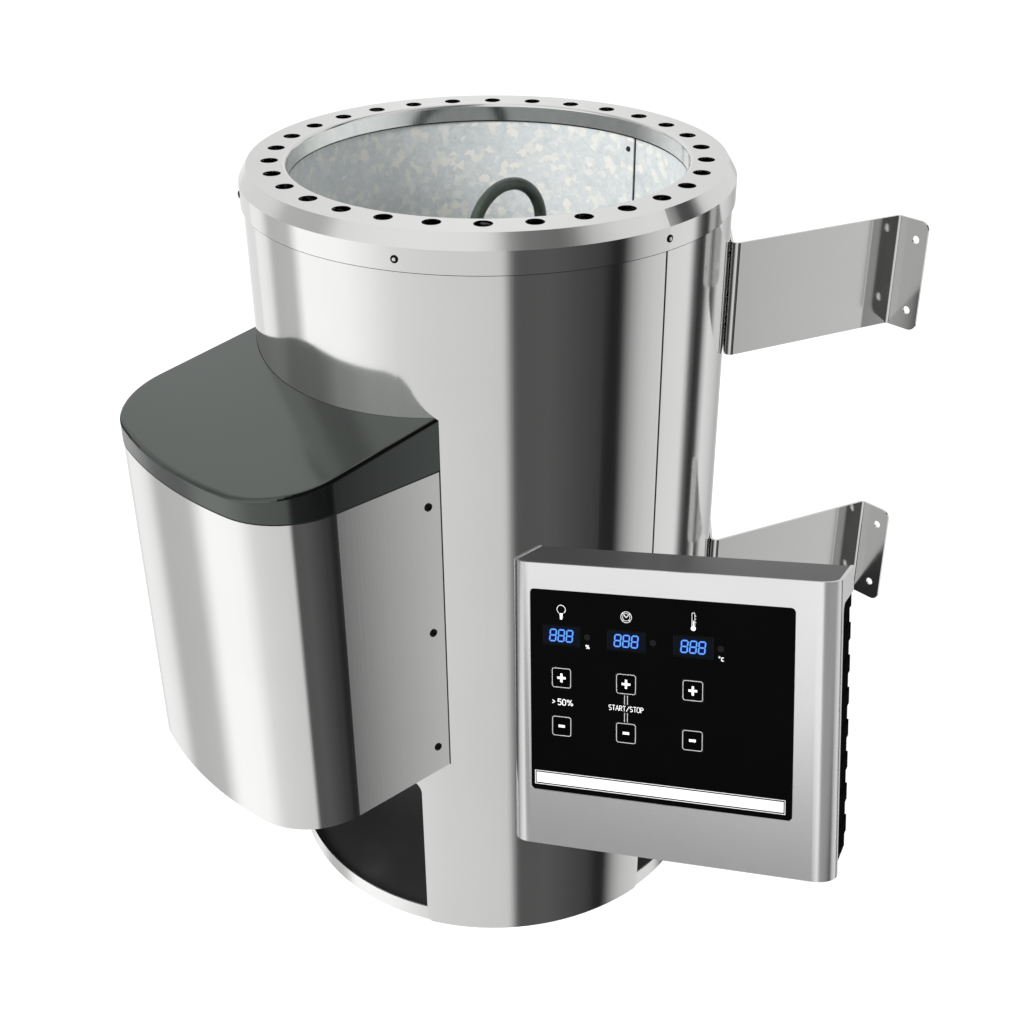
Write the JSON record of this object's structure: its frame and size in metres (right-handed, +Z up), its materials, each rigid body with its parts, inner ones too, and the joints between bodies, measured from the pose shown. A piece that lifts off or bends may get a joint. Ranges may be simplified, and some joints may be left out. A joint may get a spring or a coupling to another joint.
{
  "type": "sauna stove",
  "caption": "Round upright electric sauna stove with open stone drum, front terminal box, wall brackets and a tilted control unit on a side bracket.",
  "frame": {"origin": "on the casing's upright axis, in the plane of the floor", "axes": "+Z up along the casing, +Y towards the wall behind the stove, -Y the side of the terminal box, +X the side of the control unit"},
  "size_m": [0.5475, 0.4726, 0.514],
  "materials": {
    "ring_steel": "satin stainless steel",
    "casing_steel": "bright stainless steel, fine upright grain",
    "cover_steel": "bright stainless steel, fine upright grain",
    "bracket_steel": "satin stainless steel",
    "base_steel": "satin stainless steel",
    "grate_steel": "plain steel, dull",
    "inner_steel": "zinc-coated sheet, plain",
    "galvanised": "hot-dip galvanised with visible spangle",
    "base_black": "black, semi-gloss",
    "rivet_black": "black",
    "tube_metal": "dark grey-green oxidised steel tube",
    "hood_plastic": "dark grey-green, semi-gloss",
    "porcelain": "glazed ceramic, off-white",
    "brass": "plain",
    "copper": "bare copper",
    "bright_screw": "zinc-plated",
    "dark_screw": "dark, semi-gloss",
    "black_plastic": "black, fine texture",
    "red_plastic": "red",
    "console_paint": "dark grey powder coat",
    "silver_cover": "satin silver",
    "top_plate_grey": "dark grey, satin",
    "unit_black": "black, semi-gloss, ribbed",
    "panel_black": "glossy black with printed marks",
    "display_glass": "dark blue-grey window with blue digits",
    "board_green": "green solder mask",
    "switch_metal": "bright metal can",
    "key_black": "glossy black with white outline and sign"
  },
  "bodies": {
    "stove": {"top_ring": "ring_steel", "ring_screws": "dark_screw", "outer_shell_front": "casing_steel", "outer_shell_back": "casing_steel", "seam_strips": "inner_steel", "inner_drum": "galvanised", "drum_rivet": "rivet_black", "stone_grate": "grate_steel", "drum_brackets": "inner_steel", "base_ring": "base_steel", "base_plate": "base_black", "heating_element_left": "tube_metal", "heating_element_middle": "tube_metal", "heating_element_right": "tube_metal", "element_bushings": "brass", "element_nuts": "bright_screw", "box_chassis": "inner_steel", "chassis_screws": "bright_screw", "box_floor": "inner_steel", "box_cover": "cover_steel", "box_hood": "hood_plastic", "box_screws": "dark_screw", "terminal_block": "porcelain", "terminal_screws": "brass", "overheat_cutout": "black_plastic", "cutout_sensor": "copper", "cutout_nut": "bright_screw", "cable_gland": "black_plastic", "gland_locknut": "black_plastic", "bracket_upper_right": "bracket_steel", "bracket_upper_left": "bracket_steel", "bracket_lower_right": "bracket_steel", "bracket_lower_left": "bracket_steel", "bracket_screws": "bright_screw", "bracket_nuts": "bright_screw", "console_bracket": "console_paint", "console_screws": "bright_screw", "unit_cover": "silver_cover", "unit_top_plate": "top_plate_grey", "unit_back_box": "unit_black", "unit_panel": "panel_black", "display_windows": "display_glass", "display_modules": "black_plastic", "circuit_board": "board_green", "board_spacers": "bright_screw", "key_switches": "switch_metal"},
    "key_lamp_plus": {"key_lamp_plus": "key_black"},
    "key_lamp_minus": {"key_lamp_minus": "key_black"},
    "key_timer_plus": {"key_timer_plus": "key_black"},
    "key_timer_minus": {"key_timer_minus": "key_black"},
    "key_heat_plus": {"key_heat_plus": "key_black"},
    "key_heat_minus": {"key_heat_minus": "key_black"},
    "reset_pin": {"reset_pin": "red_plastic"}
  },
  "joints": [
    {"name": "key_lamp_plus_press", "type": "slide", "parent": "stove", "child": "key_lamp_plus", "axis": [-0.4083, 0.8522, -0.3272], "range_m": [0, 0.0005], "stiffness_N_per_m": 3000},
    {"name": "key_lamp_minus_press", "type": "slide", "parent": "stove", "child": "key_lamp_minus", "axis": [-0.4083, 0.8522, -0.3272], "range_m": [0, 0.0005], "stiffness_N_per_m": 3000},
    {"name": "key_timer_plus_press", "type": "slide", "parent": "stove", "child": "key_timer_plus", "axis": [-0.4083, 0.8522, -0.3272], "range_m": [0, 0.0005], "stiffness_N_per_m": 3000},
    {"name": "key_timer_minus_press", "type": "slide", "parent": "stove", "child": "key_timer_minus", "axis": [-0.4083, 0.8522, -0.3272], "range_m": [0, 0.0005], "stiffness_N_per_m": 3000},
    {"name": "key_heat_plus_press", "type": "slide", "parent": "stove", "child": "key_heat_plus", "axis": [-0.4083, 0.8522, -0.3272], "range_m": [0, 0.0005], "stiffness_N_per_m": 3000},
    {"name": "key_heat_minus_press", "type": "slide", "parent": "stove", "child": "key_heat_minus", "axis": [-0.4083, 0.8522, -0.3272], "range_m": [0, 0.0005], "stiffness_N_per_m": 3000},
    {"name": "reset_pin_press", "type": "slide", "parent": "stove", "child": "reset_pin", "axis": [0, 0, 1], "range_m": [0, 0.002], "stiffness_N_per_m": 1500}
  ]
}
